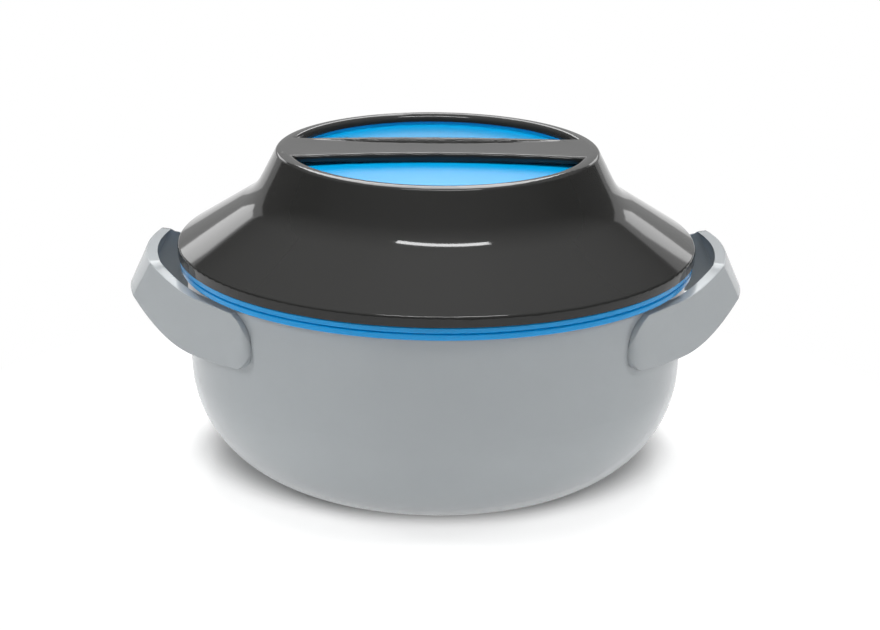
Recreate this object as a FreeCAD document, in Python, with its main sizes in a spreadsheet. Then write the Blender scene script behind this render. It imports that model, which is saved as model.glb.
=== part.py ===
import FreeCAD, Part
import Sketcher
import math
import os
import re

# Insulated chapati casserole with a lift-off, twist-lock lid. Millimetres.
# The origin is the centre of the foot on the table, +Z is up, the two side
# handles lie along X and the front is -Y. Almost every piece is turned about Z.

Vector = FreeCAD.Vector
Rotation = FreeCAD.Rotation
Placement = FreeCAD.Placement

# ---------------------------------------------------------------- dimensions

SIZES = {
    # pot shell, outside
    "pot_wall_height": 108.5,
    "pot_wall_draft": 3.2,
    "pot_corner_height": 23.9,
    "pot_corner_round": 55.0,
    "pot_base_radius": 64.0,
    "pot_edge_height": 0.9,
    "shell_wall": 2.5,
    # base cover, foot and foam plug
    "foot_height": 1.2,
    "foot_width": 5.0,
    "cover_inset": 2.6,
    "cover_wall": 1.8,
    "cover_rim_width": 4.0,
    "plug_hole_radius": 6.0,
    "plug_head_radius": 9.0,
    "plug_head": 1.5,
    # steel bowl
    "bowl_radius": 104.5,
    "bowl_taper": 3.0,
    "bowl_depth": 80.0,
    "bowl_round": 28.0,
    "bowl_mouth_round": 1.5,
    "bowl_wall": 0.6,
    "bowl_flange_width": 7.7,
    "bowl_roll_radius": 0.9,
    # coloured collar
    "collar_overhang": 2.9,
    "collar_height": 6.05,
    "collar_groove": 0.9,
    "collar_skirt_wall": 2.2,
    "collar_deck": 2.05,
    "collar_rib_depth": 3.3,
    "collar_rib_width": 2.2,
    "collar_ledge_width": 6.5,
    "upstand_wall": 4.0,
    "upstand_height": 5.45,
    "ledge_height": 1.45,
    # twist lock
    "lock_count": 4,
    "lock_rib_reach": 3.0,
    "lock_rib_lift": 2.95,
    "lock_rib_thickness": 1.7,
    "lock_rib_angle": 30.0,
    "lock_stop_angle": 3.0,
    "lock_clearance": 0.6,
    "lock_lug_lift": 0.75,
    "lock_lug_thickness": 1.8,
    "lock_lug_angle": 14.0,
    "lock_lug_lead": 3.0,
    "lock_travel": 24.0,
    # lid shell, outside, with heights above the skirt's lower edge
    "lid_gap": 0.3,
    "lid_wall": 2.4,
    "skirt_overhang": 1.0,
    "lid_rib_gap": 0.18,
    "skirt_edge_round": 1.8,
    "shoulder_radius": 88.3,
    "shoulder_rise": 23.3,
    "shoulder_round": 26.0,
    "crown_land": 7.5,
    "crown_height": 49.95,
    "crown_round": 6.0,
    "recess_radius": 69.5,
    "recess_edge_round": 3.5,
    "lip_depth": 3.75,
    # grip bar over the recess
    "bar_bury": 3.65,
    "bar_waist": 16.7,
    "bar_flare": 2.0,
    "bar_lift": 0.5,
    "web_dip": 0.4,
    "web_round": 1.2,
    "bead_width": 4.6,
    "bead_end_drop": 0.5,
    "bead_arch": 1.6,
    "bead_round": 1.6,
    # coloured dish in the recess
    "dish_wall": 2.0,
    "dish_depth": 12.0,
    "dish_floor_radius": 34.0,
    "dish_floor_round": 180.0,
    "dish_round_share": 0.95,
    "dish_edge_inset": 0.9,
    "dish_flange_width": 6.0,
    # steel liner, its plastic ring and the seal
    "ring_gap": 0.6,
    "ring_wall": 1.8,
    "ring_liner_gap": 1.5,
    "ring_lip_wall": 1.8,
    "ring_lip_depth": 2.2,
    "liner_wall": 0.5,
    "liner_flange_width": 6.5,
    "liner_plug_gap": 5.0,
    "liner_plug_depth": 7.5,
    "liner_plug_round": 4.0,
    "liner_rise": 2.8,
    "liner_centre_radius": 25.0,
    "liner_centre_round": 200.0,
    "seal_gap": 0.3,
    "seal_inset": 2.4,
    "seal_width": 3.8,
    "seal_foot_inset": 1.0,
    # side handles
    "pad_stand": 2.9,
    "pad_top_round": 14.0,
    "pad_low_round": 9.0,
    "pad_edge_round": 3.4,
    "pad_end_angle": 46.0,
    "pad_run_angle": 40.0,
    "handle_wall": 5.5,
    "handle_round": 1.5,
    "loop_top_depth": 16.0,
    "loop_low_depth": 25.3,
    "loop_corner_round": 22.0,
    "pad_top_drop": 1.3,
    "pad_low_drop": 30.5,
    "loop_top_rise": 7.3,
    "loop_low_drop": 11.0,
    "loop_top_power": 1.2,
    "loop_low_power": 2.0,
    # handle screws and the bosses that they pull on
    "boss_radius": 4.5,
    "boss_gap": 0.2,
    "screw_radius": 1.75,
    "screw_reach": 5.2,
    "screw_head_radius": 6.0,
    "screw_head": 1.8,
    "screw_front_angle": 42.0,
    "screw_rear_angle": 35.0,
    # fits
    "seat_gap": 0.05,
    "cover_gap": 0.2,
    "tongue_gap": 0.25,
    "roll_gap": 0.4,
    "foam_gap": 0.1,
}

# Sizes that follow from others: the steel bowl sets the pot, the collar and the lid.
FITS = {
    "bowl_low_radius": "bowl_radius - bowl_taper",
    "bowl_flange_radius": "bowl_radius + bowl_flange_width",
    "upstand_radius": "bowl_flange_radius + bowl_roll_radius + roll_gap + upstand_wall",
    "collar_radius": "upstand_radius + collar_ledge_width",
    "pot_top_radius": "collar_radius - collar_overhang",
    "pot_corner_radius": "pot_top_radius - pot_wall_draft",
    "cover_radius": "pot_base_radius - cover_inset",
    "lock_rib_radius": "upstand_radius + lock_rib_reach",
    "lock_lug_radius": "upstand_radius + lock_clearance",
    "skirt_radius": "collar_radius + skirt_overhang",
    "skirt_height": "lock_rib_lift + lock_rib_thickness - lid_gap + lid_rib_gap + lid_rib_slant",
    "lid_rib_slant": "lid_wall * sqrt(1 + lid_slope ^ 2) - (skirt_radius - lock_rib_radius) * lid_slope",
    "lid_slope": "shoulder_rise / (skirt_radius - shoulder_radius)",
    "shoulder_height": "skirt_height + shoulder_rise",
    "crown_radius": "recess_radius + crown_land",
    "bar_half_length": "recess_radius + bar_bury",
    "dish_edge_radius": "recess_radius - dish_edge_inset",
    "dish_flange_radius": "recess_radius + dish_flange_width",
    "liner_plug_radius": "bowl_radius - liner_plug_gap",
    "liner_flange_radius": "liner_plug_radius + liner_flange_width",
    "ring_inner_radius": "liner_plug_radius + ring_liner_gap",
    "seal_inner_radius": "bowl_radius + seal_inset",
    "seal_outer_radius": "seal_inner_radius + seal_width",
    "pad_radius": "pot_top_radius + pad_stand",
    "handle_top_reach": "pad_radius + loop_top_depth",
    "handle_low_reach": "pad_radius + loop_low_depth",
    "pad_top_height": "pot_wall_height - pad_top_drop",
    "pad_low_height": "pot_wall_height - pad_low_drop",
    "loop_top_height": "pot_wall_height + loop_top_rise",
    "loop_low_height": "pot_wall_height - loop_low_drop",
}

LID_BASE = "(pot_wall_height + collar_height + lid_gap)"
COLLAR_TOP = "(pot_wall_height + collar_height)"
LEDGE = "(pot_wall_height + collar_height + ledge_height)"
UPSTAND_TOP = "(pot_wall_height + collar_height + upstand_height)"
BOWL_RIM = f"({LEDGE} + bowl_wall)"
BOWL_FLOOR = f"({BOWL_RIM} - bowl_depth)"
DECK_UNDER = f"({COLLAR_TOP} - collar_deck)"
COVER_TOP = "(foot_height + cover_wall)"
FLOOR_UNDER = f"({COVER_TOP} + plug_head + 2 * seat_gap)"
FLOOR_TOP = f"({FLOOR_UNDER} + shell_wall)"
WALL_TOP = f"({DECK_UNDER} - tongue_gap)"
BASE_RUN = "((pot_corner_radius - pot_base_radius) / (pot_corner_height - pot_edge_height))"
WALL_RUN = f"((pot_top_radius - pot_corner_radius) / ({WALL_TOP} - pot_corner_height))"
CROWN_TOP = f"({LID_BASE} + crown_height)"
BAR_ROOM = f"({CROWN_TOP} + bead_arch)"
LIP_UNDER = f"({CROWN_TOP} - lip_depth)"
BAR_UNDER = f"({LIP_UNDER} + bar_lift)"
DISH_TOP = f"({LIP_UNDER} - seat_gap)"
RING_UNDER = f"({UPSTAND_TOP} + ring_gap)"
RING_TOP = f"({RING_UNDER} + ring_wall)"
LINER_TOP = f"({RING_TOP} + seat_gap)"
COLLAR_INNER = "(bowl_radius + bowl_wall + bowl_mouth_round + foam_gap)"


def bound(formula):
    """The formula with every fit worked out and every size name pointed at the spreadsheet."""
    def place(match):
        name = match.group(0)
        return f"({bound(FITS[name])})" if name in FITS else "Dims." + name
    return re.sub(r"[a-z]+(?:_[a-z]+)+", place, formula)


def fill_sheet(doc):
    """Write each size into its own cell and give the cell the size's name."""
    sheet = doc.addObject("Spreadsheet::Sheet", "Dims")
    for row, (alias, value) in enumerate(SIZES.items(), start=1):
        sheet.set(f"A{row}", str(value))
        sheet.setAlias(f"A{row}", alias)
    doc.recompute()
    return sheet


def size(doc, formula):
    """The present value of a formula of sizes."""
    return float(doc.Dims.evalExpression(bound(formula)))


def wall_mid_radius(height):
    """Radius of the middle of the pot shell's sloping lower wall at a height."""
    slant = f"sqrt(1 + {BASE_RUN} ^ 2)"
    return f"pot_base_radius + ({height} - pot_edge_height) * {BASE_RUN} - shell_wall * {slant} / 2"


def wall_radius(height):
    """Outside radius of the pot's upright wall at a height."""
    return f"(pot_corner_radius + ({height} - pot_corner_height) * {WALL_RUN})"


def lid_inside_radius(height):
    """Inside radius of the lid's cone at a height."""
    rise = f"({height} - {LID_BASE} - skirt_height + lid_wall * sqrt(1 + lid_slope ^ 2))"
    return f"(skirt_radius - {rise} / lid_slope)"


# ------------------------------------------------------------- sketch helpers

def bind(doc, sketch, kind, args, formula, name):
    """Add one dimension to a sketch and bind it to a formula of sizes."""
    index = sketch.addConstraint(Sketcher.Constraint(kind, *args, size(doc, formula)))
    sketch.renameConstraint(index, name)
    sketch.setExpression(f"Constraints.{name}", bound(formula))


def pin(doc, sketch, geometry, end, across, up, name):
    """Hold one sketch point at (across, up)."""
    for kind, formula, axis in (("DistanceX", across, -2), ("DistanceY", up, -1)):
        if formula == "0":
            sketch.addConstraint(Sketcher.Constraint("PointOnObject", geometry, end, axis))
        else:
            bind(doc, sketch, kind, (-1, 1, geometry, end), formula, name + kind[-1])


def outline(doc, sketch, corners, closed=True):
    """Draw straight runs through the corners (across, up[, rounding]) and bind them all."""
    points = [Vector(size(doc, c[0]), size(doc, c[1]), 0) for c in corners]
    ends = points[1:] + points[:1] if closed else points[1:]
    for start, end in zip(points, ends):
        sketch.addGeometry(Part.LineSegment(start, end), False)
    runs = len(ends)
    for index in range(runs if closed else runs - 1):
        sketch.addConstraint(Sketcher.Constraint("Coincident", index, 2, (index + 1) % runs, 1))
    for index, corner in enumerate(corners):
        if len(corner) == 3 and (closed or 0 < index < runs):
            sketch.fillet((index - 1) % runs, 2, size(doc, corner[2]), True, True)
            arc = len(sketch.Geometry) - 2
            bind(doc, sketch, "Radius", (arc,), corner[2], f"Round{index}")
            pin(doc, sketch, arc + 1, 1, corner[0], corner[1], f"P{index}")
        elif index < runs:
            pin(doc, sketch, index, 1, corner[0], corner[1], f"P{index}")
        else:
            pin(doc, sketch, index - 1, 2, corner[0], corner[1], f"P{index}")


def upright_sketch(doc, name, corners, closed=True):
    """A sketch in the XZ plane."""
    sketch = doc.addObject("Sketcher::SketchObject", name)
    sketch.Placement = Placement(Vector(0, 0, 0), Rotation(Vector(1, 0, 0), 90))
    outline(doc, sketch, corners, closed)
    return sketch


def strap_sketch(doc, name, plan, half, low, low_rise, high, high_rise):
    """A closed outline with two upright ends and a low and a high side.

    Each side has the height of its ends and the rise of its middle, which makes it an arc.
    """
    sketch = doc.addObject("Sketcher::SketchObject", name)
    if not plan:
        sketch.Placement = Placement(Vector(0, 0, 0), Rotation(Vector(1, 0, 0), 90))
    reach = size(doc, half)
    for level, rise in ((low, low_rise), (high, high_rise)):
        left = Vector(-reach, size(doc, level), 0)
        right = Vector(reach, size(doc, level), 0)
        middle = Vector(0, size(doc, f"{level} + {rise}"), 0)
        side = Part.LineSegment(left, right) if rise == "0" else Part.ArcOfCircle(left, middle, right)
        sketch.addGeometry(side, False)
    # a sketch runs every arc anticlockwise, so a top arc starts at its right end
    ends = [(1, 2) if sketch.getPoint(side, 1).x < 0 else (2, 1) for side in (0, 1)]
    for across in (0, 1):
        low_end = sketch.getPoint(0, ends[0][across])
        high_end = sketch.getPoint(1, ends[1][across])
        sketch.addGeometry(Part.LineSegment(low_end, high_end), False)
        sketch.addConstraint(Sketcher.Constraint("Coincident", 2 + across, 1, 0, ends[0][across]))
        sketch.addConstraint(Sketcher.Constraint("Coincident", 2 + across, 2, 1, ends[1][across]))
    for index, level, rise in ((0, low, low_rise), (1, high, high_rise)):
        left, right = ends[index]
        pin(doc, sketch, index, left, f"-{half}", level, f"Left{index}")
        pin(doc, sketch, index, right, half, level, f"Right{index}")
        if rise != "0":
            bow = f"(({half} ^ 2 + ({rise}) ^ 2) / (2 * abs({rise})))"
            bind(doc, sketch, "Radius", (index,), bow, f"Bow{index}")
    return sketch


# -------------------------------------------------------------- solid helpers

def spin(doc, name, source, sweep="360", start="0"):
    """Turn a sketch or face about Z, from a start angle, through a sweep."""
    turned = doc.addObject("Part::Revolution", name)
    turned.Source = source
    turned.Axis = Vector(0, 0, 1)
    turned.Base = Vector(0, 0, 0)
    turned.Solid = True
    turned.Angle = size(doc, sweep)
    if sweep != "360":
        turned.setExpression("Angle", bound(sweep))
    if start != "0":
        turned.Placement = Placement(Vector(0, 0, 0), Rotation(Vector(0, 0, 1), size(doc, start)))
        turned.setExpression("Placement.Rotation.Angle", bound(start))
    return turned


def turned_sheet(doc, name, corners, wall):
    """A shell of even wall, turned from an open outline of one of its faces."""
    section = doc.addObject("Part::Offset2D", name + "_section")
    section.Source = upright_sketch(doc, name + "_outline", corners, closed=False)
    section.Mode = "Skin"
    section.Join = "Intersection"
    section.Fill = True
    section.Value = size(doc, wall)
    section.setExpression("Value", bound(wall))
    return spin(doc, name, section)


def turned_block(doc, name, corners, sweep="360", start="0"):
    """A solid turned from a closed outline."""
    return spin(doc, name, upright_sketch(doc, name + "_outline", corners), sweep, start)


def turned_room(doc, name, face, closing, wall):
    """The room that a sheet takes up with everything behind it, to cut foam with."""
    block = turned_block(doc, name + "_block", face + closing)
    return fused(doc, name, block, turned_sheet(doc, name + "_sheet", face, wall))


def fused(doc, name, *pieces):
    joined = doc.addObject("Part::MultiFuse", name)
    joined.Shapes = list(pieces)
    joined.Refine = True
    return joined


def cut(doc, name, base, *tools):
    tool = tools[0] if len(tools) == 1 else fused(doc, name + "_tools", *tools)
    result = doc.addObject("Part::Cut", name)
    result.Base = base
    result.Tool = tool
    result.Refine = True
    return result


def shared(doc, name, *pieces):
    common = doc.addObject("Part::MultiCommon", name)
    common.Shapes = list(pieces)
    return common


def prism(doc, name, sketch, length, symmetric=False):
    """A sketch pushed along its own normal."""
    pushed = doc.addObject("Part::Extrusion", name)
    pushed.Base = sketch
    pushed.DirMode = "Normal"
    pushed.Solid = True
    pushed.Symmetric = symmetric
    pushed.LengthFwd = size(doc, length)
    pushed.setExpression("LengthFwd", bound(length))
    return pushed


def label(piece, name):
    """Name a finished sub-part after the file that it is written to."""
    piece.Label = name
    return piece


# ------------------------------------------------------------------- the pot

POT_OUTLINE = (
    ("pot_top_radius", WALL_TOP),
    ("pot_corner_radius", "pot_corner_height", "pot_corner_round"),
    ("pot_base_radius", "pot_edge_height"),
)
BOWL_OUTLINE = (
    ("bowl_flange_radius", BOWL_RIM),
    ("bowl_radius", BOWL_RIM, "bowl_mouth_round"),
    ("bowl_low_radius", BOWL_FLOOR, "bowl_round"),
    ("0", BOWL_FLOOR),
)
HANDLE_SCREWS = ("screw_front_angle", "screw_rear_angle")
PAD_MIDDLE = "((pad_top_height + pad_low_height) / 2)"
SCREW_DROP = "(screw_head_radius ^ 2 / (2 * pot_corner_radius) + screw_head_radius * " + WALL_RUN + ")"
SCREW_SEAT = f"({wall_radius(PAD_MIDDLE)} - shell_wall - {SCREW_DROP} - seat_gap)"


def radial_places(side):
    """Turns about Z of the four screws of one handle, from the +X axis."""
    for angle in HANDLE_SCREWS:
        for sign in ("", "-"):
            yield f"({side} + {sign}{angle})"


def radial_rod(doc, name, turn, start, reach, radius):
    """A round rod that points away from Z at the height of the handle pads."""
    rod = doc.addObject("Part::Cylinder", name)
    rod.Radius = size(doc, radius)
    rod.Height = size(doc, reach)
    rod.setExpression("Radius", bound(radius))
    rod.setExpression("Height", bound(reach))
    point_radially(doc, rod, turn, start)
    return rod


def point_radially(doc, piece, turn, start):
    """Stand a piece that is made along +Z on a radius, its foot at a start distance."""
    axis = Vector(-size(doc, f"sin({turn})"), size(doc, f"cos({turn})"), 0)
    piece.Placement = Placement(Vector(0, 0, 0), Rotation(axis, 90))
    formulas = {
        "Placement.Base.x": f"({start}) * cos({turn})",
        "Placement.Base.y": f"({start}) * sin({turn})",
        "Placement.Base.z": PAD_MIDDLE,
        "Placement.Rotation.Axis.x": f"-sin({turn})",
        "Placement.Rotation.Axis.y": f"cos({turn})",
    }
    for target, formula in formulas.items():
        piece.setExpression(target, bound(formula))


def pot_solid(doc):
    """Everything inside the pot's outer face, used to seat the handles on it."""
    corners = (("0", WALL_TOP),) + POT_OUTLINE + (("0", "pot_edge_height"),)
    return turned_block(doc, "pot_solid", corners)


def outer_shell(doc):
    wall = turned_sheet(doc, "shell_wall_sheet", POT_OUTLINE, "-shell_wall")
    floor = turned_block(doc, "shell_floor", (
        ("0", FLOOR_UNDER),
        (wall_mid_radius(FLOOR_UNDER), FLOOR_UNDER),
        (wall_mid_radius(FLOOR_TOP), FLOOR_TOP),
        ("0", FLOOR_TOP),
    ))
    pocket_rim = turned_block(doc, "shell_pocket_rim", (
        ("cover_radius + cover_gap", "pot_edge_height"),
        ("pot_base_radius - shell_wall / 4", "pot_edge_height"),
        (wall_mid_radius(FLOOR_UNDER), FLOOR_UNDER),
        (wall_mid_radius(FLOOR_TOP), FLOOR_TOP),
        ("cover_radius + cover_gap", FLOOR_TOP),
    ))
    fill_hole = doc.addObject("Part::Cylinder", "fill_hole")
    fill_hole.setExpression("Radius", bound("plug_hole_radius"))
    fill_hole.setExpression("Height", bound(FLOOR_TOP + " + shell_wall"))
    holes = [
        radial_rod(doc, "boss_hole", turn, SCREW_SEAT, "2 * shell_wall + pad_stand", "boss_radius + boss_gap")
        for side in ("0", "180")
        for turn in radial_places(side)
    ]
    body = fused(doc, "shell_body", wall, floor, pocket_rim)
    return label(cut(doc, "outer_shell", body, fill_hole, *holes), "outer_shell")


def base_cover(doc):
    return label(turned_block(doc, "base_cover", (
        ("0", "foot_height"),
        ("cover_radius - foot_width - foot_height", "foot_height"),
        ("cover_radius - foot_width", "0"),
        ("cover_radius - cover_wall / 4", "0"),
        ("cover_radius", "cover_wall / 4"),
        ("cover_radius", f"{FLOOR_UNDER} - seat_gap"),
        ("cover_radius - cover_rim_width", f"{FLOOR_UNDER} - seat_gap"),
        ("cover_radius - cover_rim_width", COVER_TOP),
        ("0", COVER_TOP),
    )), "base_cover")


def fill_plug(doc):
    return label(turned_block(doc, "fill_plug", (
        ("0", f"{COVER_TOP} + seat_gap"),
        ("plug_head_radius", f"{COVER_TOP} + seat_gap"),
        ("plug_head_radius", f"{FLOOR_UNDER} - seat_gap"),
        ("plug_hole_radius - seat_gap", f"{FLOOR_UNDER} - seat_gap"),
        ("plug_hole_radius - seat_gap", FLOOR_TOP),
        ("0", FLOOR_TOP),
    )), "fill_plug")


def inner_bowl(doc):
    """Pressed steel: a turned sheet with a rolled edge."""
    sheet = turned_sheet(doc, "bowl_sheet", BOWL_OUTLINE, "bowl_wall")
    roll = doc.addObject("Part::Torus", "bowl_roll")
    roll.setExpression("Radius1", bound("bowl_flange_radius"))
    roll.setExpression("Radius2", bound("bowl_roll_radius"))
    roll.setExpression("Placement.Base.z", bound(f"{LEDGE} + bowl_roll_radius"))
    return label(fused(doc, "inner_bowl", sheet, roll), "inner_bowl")


def rim_ring(doc):
    """The coloured collar: skirt with two beads, deck, upstand and the lock ribs."""
    bead = "(collar_height - collar_groove) / 2"
    collar = turned_block(doc, "collar_block", (
        ("collar_radius - collar_skirt_wall", "pot_wall_height"),
        ("collar_radius - collar_groove / 2", "pot_wall_height"),
        ("collar_radius", "pot_wall_height + collar_groove / 2", "collar_groove / 2"),
        ("collar_radius", f"pot_wall_height + {bead}", "collar_groove / 2"),
        ("collar_radius - collar_groove", f"pot_wall_height + {bead} + collar_groove / 2"),
        ("collar_radius", f"pot_wall_height + {bead} + collar_groove", "collar_groove / 2"),
        ("collar_radius", f"{COLLAR_TOP} - collar_groove / 2", "collar_groove / 2"),
        ("collar_radius - collar_groove / 2", COLLAR_TOP),
        ("upstand_radius", COLLAR_TOP),
        ("upstand_radius", UPSTAND_TOP, "upstand_wall / 5"),
        ("upstand_radius - upstand_wall", UPSTAND_TOP, "upstand_wall / 5"),
        ("upstand_radius - upstand_wall", LEDGE),
        (COLLAR_INNER, LEDGE),
        (COLLAR_INNER, DECK_UNDER),
        ("collar_radius - collar_skirt_wall", DECK_UNDER),
    ))
    rib_top = f"{DECK_UNDER} + collar_deck / 4"
    rib_out = f"{wall_radius(DECK_UNDER)} - shell_wall - 4 * seat_gap"
    locating_rib = turned_block(doc, "locating_rib", (
        (f"{rib_out} - collar_rib_width", rib_top),
        (f"{rib_out} - collar_rib_width", f"{DECK_UNDER} - collar_rib_depth"),
        (f"{rib_out} - 4 * seat_gap", f"{DECK_UNDER} - collar_rib_depth"),
        (rib_out, rib_top),
    ))
    locks = []
    for number in range(int(SIZES["lock_count"])):
        quarter = f"{number} * 360 / lock_count"
        locks.append(turned_block(doc, "lock_rib", (
            ("upstand_radius - upstand_wall / 2", f"{COLLAR_TOP} + lock_rib_lift"),
            ("lock_rib_radius", f"{COLLAR_TOP} + lock_rib_lift"),
            ("lock_rib_radius", f"{COLLAR_TOP} + lock_rib_lift + lock_rib_thickness"),
            ("upstand_radius - upstand_wall / 2", f"{COLLAR_TOP} + lock_rib_lift + lock_rib_thickness"),
        ), sweep="lock_rib_angle", start=f"{quarter} - lock_rib_angle"))
        stop = "lock_travel - lock_lug_lead + lock_lug_angle - lock_stop_angle"
        reach = "lock_travel - lock_lug_lead + lock_stop_angle / 3"
        locks.append(turned_block(doc, "lock_stop", (
            ("upstand_radius - upstand_wall / 2", f"{COLLAR_TOP} - collar_deck / 4"),
            ("lock_rib_radius", f"{COLLAR_TOP} - collar_deck / 4"),
            ("lock_rib_radius", f"{COLLAR_TOP} + lock_rib_lift + lock_rib_thickness / 2"),
            ("upstand_radius - upstand_wall / 2", f"{COLLAR_TOP} + lock_rib_lift + lock_rib_thickness / 2"),
        ), sweep="lock_stop_angle", start=f"{quarter} - ({reach}) - lock_stop_angle"))
    return label(fused(doc, "rim_ring", collar, locating_rib, *locks), "rim_ring")


def body_foam(doc, pot):
    """Foam that fills the pot between the shell, the floor and the steel bowl."""
    foam_top = f"({DECK_UNDER} - collar_rib_depth - foam_gap)"
    slab = doc.addObject("Part::Cylinder", "foam_slab")
    slab.setExpression("Radius", bound("pot_top_radius"))
    slab.setExpression("Height", bound(f"{foam_top} - {FLOOR_TOP} - foam_gap"))
    slab.setExpression("Placement.Base.z", bound(f"{FLOOR_TOP} + foam_gap"))
    shell_room = turned_sheet(doc, "shell_room", POT_OUTLINE, "-(shell_wall + foam_gap)")
    bowl_room = turned_room(doc, "bowl_room", BOWL_OUTLINE, (("0", BOWL_RIM),), "bowl_wall + foam_gap")
    pockets = [
        radial_rod(doc, "screw_pocket", turn, f"{SCREW_SEAT} - screw_head - foam_gap",
                   "2 * shell_wall", "screw_head_radius + 2 * foam_gap")
        for side in ("0", "180")
        for turn in radial_places(side)
    ]
    block = shared(doc, "foam_block", pot, slab)
    return label(cut(doc, "body_foam", block, shell_room, bowl_room, *pockets), "body_foam")


# --------------------------------------------------------------- the handles

# sections of the loft on the pad's round end, and on the run, the corner and half the flat end
PAD_END_STEPS = 5
LEG_STEPS = (4, 4, 2)


def rounded_wire(corners, radius):
    """A closed flat wire through the corners, each rounded by an arc."""
    edges = []
    exits = []
    count = len(corners)
    for index, corner in enumerate(corners):
        back = (corners[index - 1] - corner).normalize()
        ahead = (corners[(index + 1) % count] - corner).normalize()
        half = back.getAngle(ahead) / 2
        run = radius / math.tan(half)
        middle = corner + (back + ahead).normalize() * (radius / math.sin(half) - radius)
        edges.append(Part.Arc(corner + back * run, middle, corner + ahead * run).toShape())
        exits.append((corner + back * run, corner + ahead * run))
    sides = [
        Part.LineSegment(exits[index][1], exits[(index + 1) % count][0]).toShape()
        for index in range(count)
    ]
    loop = [edge for pair in zip(edges, sides) for edge in pair]
    return Part.Wire(loop)


class HandlePath:
    """One edge of the handle in plan: a pad on the pot, a straight run, a corner and a flat end."""

    def __init__(self, doc, reach, pad_height, loop_height, power):
        self.pad_radius = size(doc, "pad_radius")
        self.lean = math.radians(size(doc, "pad_run_angle"))
        self.pad_height = size(doc, pad_height)
        self.rise = size(doc, loop_height) - self.pad_height
        self.power = size(doc, power)
        self.corner_round = size(doc, "loop_corner_round")
        across = size(doc, reach) - self.corner_round
        along = self.pad_radius - self.corner_round - across * math.cos(self.lean)
        self.centre = Vector(across, along / math.sin(self.lean), 0)
        run = across * math.sin(self.lean) - self.centre.y * math.cos(self.lean)
        self.lengths = (run, self.corner_round * self.lean, self.centre.y)

    def point(self, station):
        """Outer point and outward direction at a station.

        From 0 to 1 the station is on the straight run, from 1 to 2 on the corner and
        from 2 to 3 on the flat end.
        """
        gone = [length * min(max(station - leg, 0), 1) for leg, length in enumerate(self.lengths)]
        angle = self.lean - gone[1] / self.corner_round
        outward = Vector(math.cos(angle), math.sin(angle), 0)
        along = Vector(-math.sin(angle), math.cos(angle), 0)
        place = self.centre + outward * self.corner_round
        place += along * (self.lengths[0] - gone[0]) - along * gone[2]
        share = (sum(gone) / sum(self.lengths)) ** self.power
        height = self.pad_height + self.rise * share ** 2 * (3 - 2 * share)
        return Vector(place.x, place.y, height), outward


def quarter_round(distance, radius):
    """How far a round corner has drawn in at a distance from its end."""
    left = max(radius - distance, 0)
    return radius - math.sqrt(radius ** 2 - left ** 2)


def handle_sections(doc):
    """The four corners of each section of one half, from the pad's end to the middle."""
    top = HandlePath(doc, "handle_top_reach", "pad_top_height", "loop_top_height", "loop_top_power")
    low = HandlePath(doc, "handle_low_reach", "pad_low_height", "loop_low_height", "loop_low_power")
    wall = size(doc, "handle_wall")
    top_round = size(doc, "pad_top_round")
    low_round = size(doc, "pad_low_round")
    edge_round = size(doc, "pad_edge_round")
    pad_length = math.radians(size(doc, "pad_end_angle - pad_run_angle")) * top.pad_radius
    for step in range(PAD_END_STEPS):
        gone = ((step + 1) / (PAD_END_STEPS + 1)) ** 2 * pad_length
        angle = top.lean + (pad_length - gone) / top.pad_radius
        outward = Vector(math.cos(angle), math.sin(angle), 0)
        face = outward * (top.pad_radius - quarter_round(gone, edge_round))
        upper = face + Vector(0, 0, top.pad_height - quarter_round(gone, top_round))
        lower = face + Vector(0, 0, low.pad_height + quarter_round(gone, low_round))
        yield upper, lower, outward * wall
    stations = [leg + step / steps for leg, steps in enumerate(LEG_STEPS) for step in range(steps)]
    for station in stations + [len(LEG_STEPS)]:
        upper, outward = top.point(station)
        lower, outward = low.point(station)
        yield upper, lower, outward * wall


def handle_loop(doc):
    """A flat band that leaves the pot at two pads and flares out below: one loft."""
    radius = size(doc, "handle_round")
    halves = [(upper, lower, back) for upper, lower, back in handle_sections(doc)]
    flip = lambda p: Vector(p.x, -p.y, p.z)
    mirrored = [(flip(u), flip(l), flip(b)) for u, l, b in reversed(halves[:-1])]
    wires = []
    for upper, lower, back in halves + mirrored:
        wires.append(rounded_wire([upper, lower, lower - back, upper - back], radius))
    band = doc.addObject("Part::Feature", "handle_band")
    band.Shape = Part.makeLoft(wires, True, False)
    return band


def collar_room(doc):
    """The ring of space round the collar that the handles stay out of."""
    return turned_block(doc, "collar_room", (
        ("pot_corner_radius", "pot_wall_height - cover_gap"),
        ("collar_radius + cover_gap", "pot_wall_height - cover_gap"),
        ("collar_radius + cover_gap", LID_BASE),
        ("pot_corner_radius", LID_BASE),
    ))


def handle(doc, name, side, loop, pot):
    """One handle: the loop cut to the pot's face, with bosses and pilot holes for its screws."""
    bosses = []
    pilots = []
    for turn in radial_places(side):
        bosses.append(radial_rod(doc, name + "_boss", turn, f"{SCREW_SEAT} + seat_gap",
                                 f"pot_top_radius + pad_stand / 2 - {SCREW_SEAT}", "boss_radius"))
        pilots.append(radial_rod(doc, name + "_pilot", turn, f"{SCREW_SEAT} - seat_gap",
                                 "screw_reach + 4 * seat_gap", "screw_radius + seat_gap"))
    if side == "180":
        turned = doc.addObject("Part::Mirroring", name + "_loop")
        turned.Source = loop
        turned.Normal = Vector(1, 0, 0)
        loop = turned
    seated = cut(doc, name + "_seated", loop, pot, collar_room(doc))
    return label(cut(doc, name, fused(doc, name + "_body", seated, *bosses), *pilots), name)


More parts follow.
